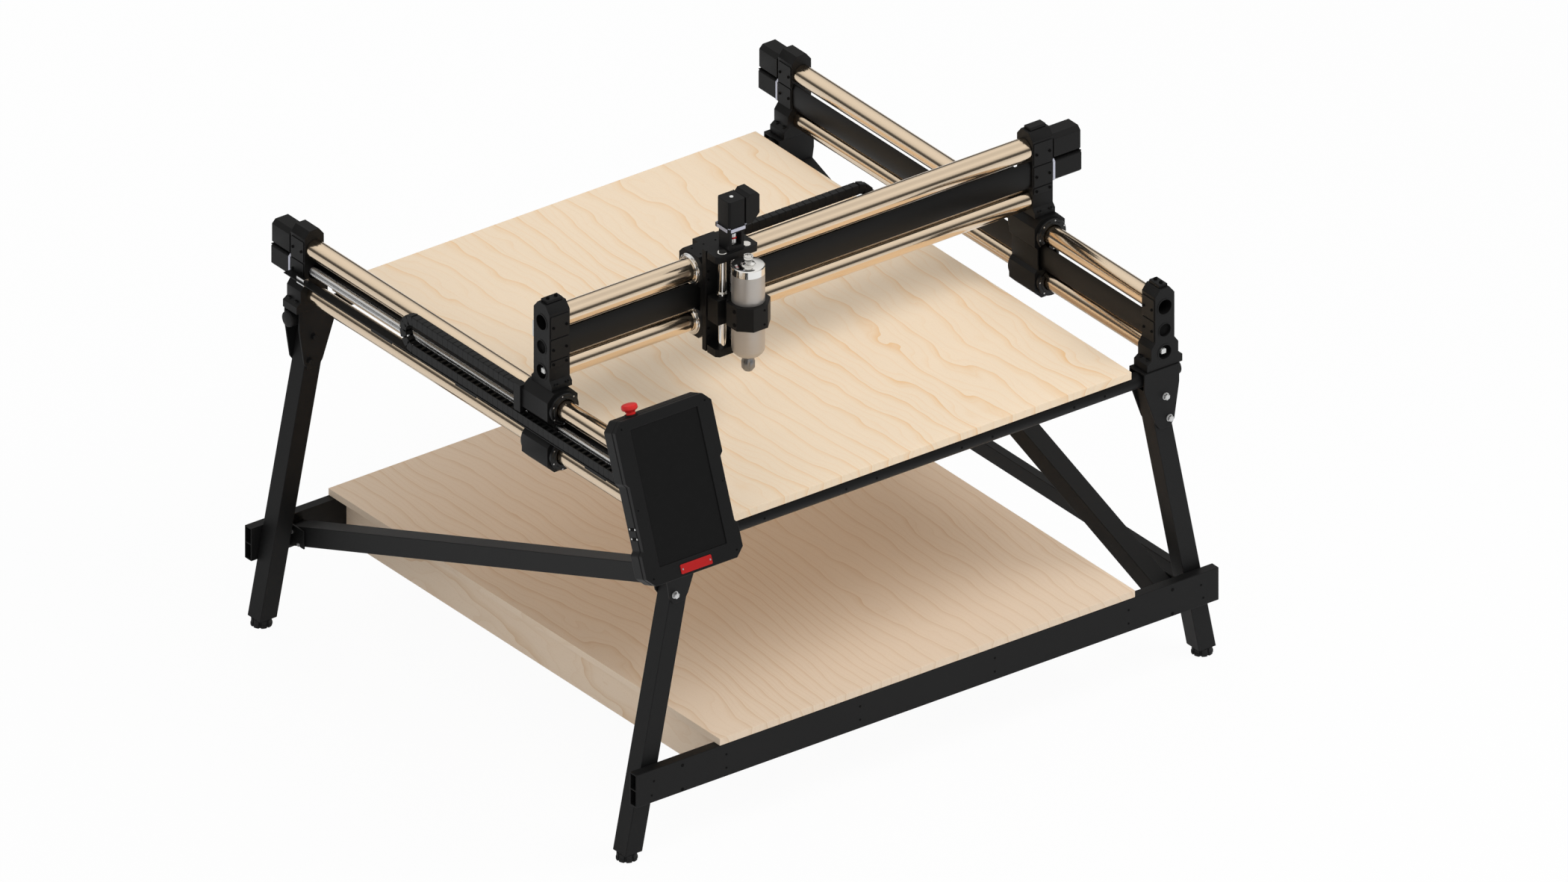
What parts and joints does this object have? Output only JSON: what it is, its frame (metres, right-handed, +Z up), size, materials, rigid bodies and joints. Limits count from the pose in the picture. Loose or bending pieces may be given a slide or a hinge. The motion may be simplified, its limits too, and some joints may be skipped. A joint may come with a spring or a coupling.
{
  "type": "cnc router",
  "caption": "Gantry router with ball screws on paired tube rails, spindle, wood bed, splayed leg stand with shelf, and a tilted screen controller.",
  "frame": {"origin": "centre of the bounding box on the floor", "axes": "+Z up, +X to the right along the gantry seen from the operator, +Y away from the operator to the back"},
  "size_m": [1.825, 1.7656, 1.407],
  "materials": {
    "black_steel": "satin black powder coat",
    "black_aluminium": "black anodised, fine grain",
    "black_plastic": "matt moulded",
    "polished_tube": "hard chrome, polished",
    "bright_steel": "ground",
    "satin_silver": "satin",
    "board": "sanded, pale, with fine grain",
    "plywood": "sanded plywood",
    "red_plastic": "gloss red"
  },
  "bodies": {
    "frame": {"bed_rail": "black_steel", "bed_tube_front": "black_steel", "bed_tube_rear": "black_steel", "brace_left": "black_steel", "brace_right": "black_steel", "controller_arm": "black_steel", "controller_case": "black_plastic", "leg_bracket_front_left": "black_steel", "leg_bracket_front_right": "black_steel", "leg_bracket_rear_left": "black_steel", "leg_bracket_rear_right": "black_steel", "leg_front_left": "black_steel", "leg_front_right": "black_steel", "leg_rear_left": "black_steel", "leg_rear_right": "black_steel", "levelling_foot_front_left": "black_plastic", "levelling_foot_front_right": "black_plastic", "levelling_foot_rear_left": "black_plastic", "levelling_foot_rear_right": "black_plastic", "lower_beam_front": "black_steel", "lower_beam_rear": "black_steel", "rail_foot_front_left": "black_aluminium", "rail_foot_front_right": "black_aluminium", "rail_foot_rear_left": "black_aluminium", "rail_foot_rear_right": "black_aluminium", "shelf_joist_left": "plywood", "shelf_joist_right": "plywood", "spoilboard": "board", "storage_shelf": "plywood", "stretcher_right": "black_steel", "y_chain_tray": "black_steel", "y_drag_chain": "black_plastic", "y_motor_left": "black_aluminium", "y_motor_right": "black_aluminium", "y_panel_left": "black_aluminium", "y_panel_right": "black_aluminium", "y_tube_lower_left": "polished_tube", "y_tube_lower_right": "polished_tube", "y_tube_upper_left": "polished_tube", "y_tube_upper_right": "polished_tube"},
    "gantry": {"y_carriage_left": "black_aluminium", "y_carriage_right": "black_aluminium", "gantry_side_left": "black_aluminium", "gantry_side_right": "black_aluminium", "x_tube_upper": "polished_tube", "x_tube_lower": "polished_tube", "gantry_panel": "black_aluminium", "x_motor": "black_aluminium", "x_drag_chain": "black_plastic"},
    "cross_carriage": {"x_carriage": "black_aluminium", "z_frame": "black_aluminium", "z_motor": "black_aluminium"},
    "vertical_slide": {"z_block": "black_aluminium", "spindle_body": "satin_silver"},
    "spindle_rotor": {"collet_nut": "bright_steel"},
    "y_screw_left_rotor": {"y_screw_left": "bright_steel"},
    "y_screw_right_rotor": {"y_screw_right": "bright_steel"},
    "x_screw_rotor": {"x_screw": "bright_steel"},
    "z_screw_rotor": {"z_screw": "bright_steel"},
    "estop": {"estop_button": "red_plastic"}
  },
  "joints": [
    {"name": "y_slide", "type": "slide", "parent": "frame", "child": "gantry", "axis": [0, 1, 0], "range_m": [-0.38, 0.798], "deforming": ["y_drag_chain"]},
    {"name": "x_slide", "type": "slide", "parent": "gantry", "child": "cross_carriage", "axis": [1, 0, 0], "range_m": [-0.362, 0.82], "deforming": ["x_drag_chain"]},
    {"name": "z_slide", "type": "slide", "parent": "cross_carriage", "child": "vertical_slide", "axis": [0, 0, 1], "range_m": [-0.054, 0.074]},
    {"name": "spindle_spin", "type": "hinge", "parent": "vertical_slide", "child": "spindle_rotor", "pos_m": [-0.20299, -0.32419, 1], "axis": [0, 0, 1], "continuous": true},
    {"name": "y_screw_left_turn", "type": "hinge", "parent": "frame", "child": "y_screw_left_rotor", "pos_m": [-0.67499, 0.06681, 0.918], "axis": [0, 1, 0], "range_deg": [-14400, 31200]},
    {"name": "y_screw_right_turn", "type": "hinge", "parent": "frame", "child": "y_screw_right_rotor", "pos_m": [0.75701, 0.06681, 0.918], "axis": [0, 1, 0], "range_deg": [-14400, 31200]},
    {"name": "x_screw_turn", "type": "hinge", "parent": "gantry", "child": "x_screw_rotor", "pos_m": [0.04101, -0.17519, 1.129], "axis": [1, 0, 0], "range_deg": [-13500, 30900]},
    {"name": "z_screw_turn", "type": "hinge", "parent": "cross_carriage", "child": "z_screw_rotor", "pos_m": [-0.19899, -0.25519, 1.1], "axis": [0, 0, 1], "range_deg": [-4000, 5450]},
    {"name": "estop_press", "type": "slide", "parent": "frame", "child": "estop", "axis": [0, 0.3453, 0.9385], "range_m": [-0.006, 0]}
  ],
  "couplings": [
    {"joint": "y_screw_left_turn", "follows": "y_slide", "rad_per_m": 628.32},
    {"joint": "y_screw_right_turn", "follows": "y_slide", "rad_per_m": 628.32},
    {"joint": "x_screw_turn", "follows": "x_slide", "rad_per_m": 628.32},
    {"joint": "z_screw_turn", "follows": "z_slide", "rad_per_m": 1256.6}
  ]
}
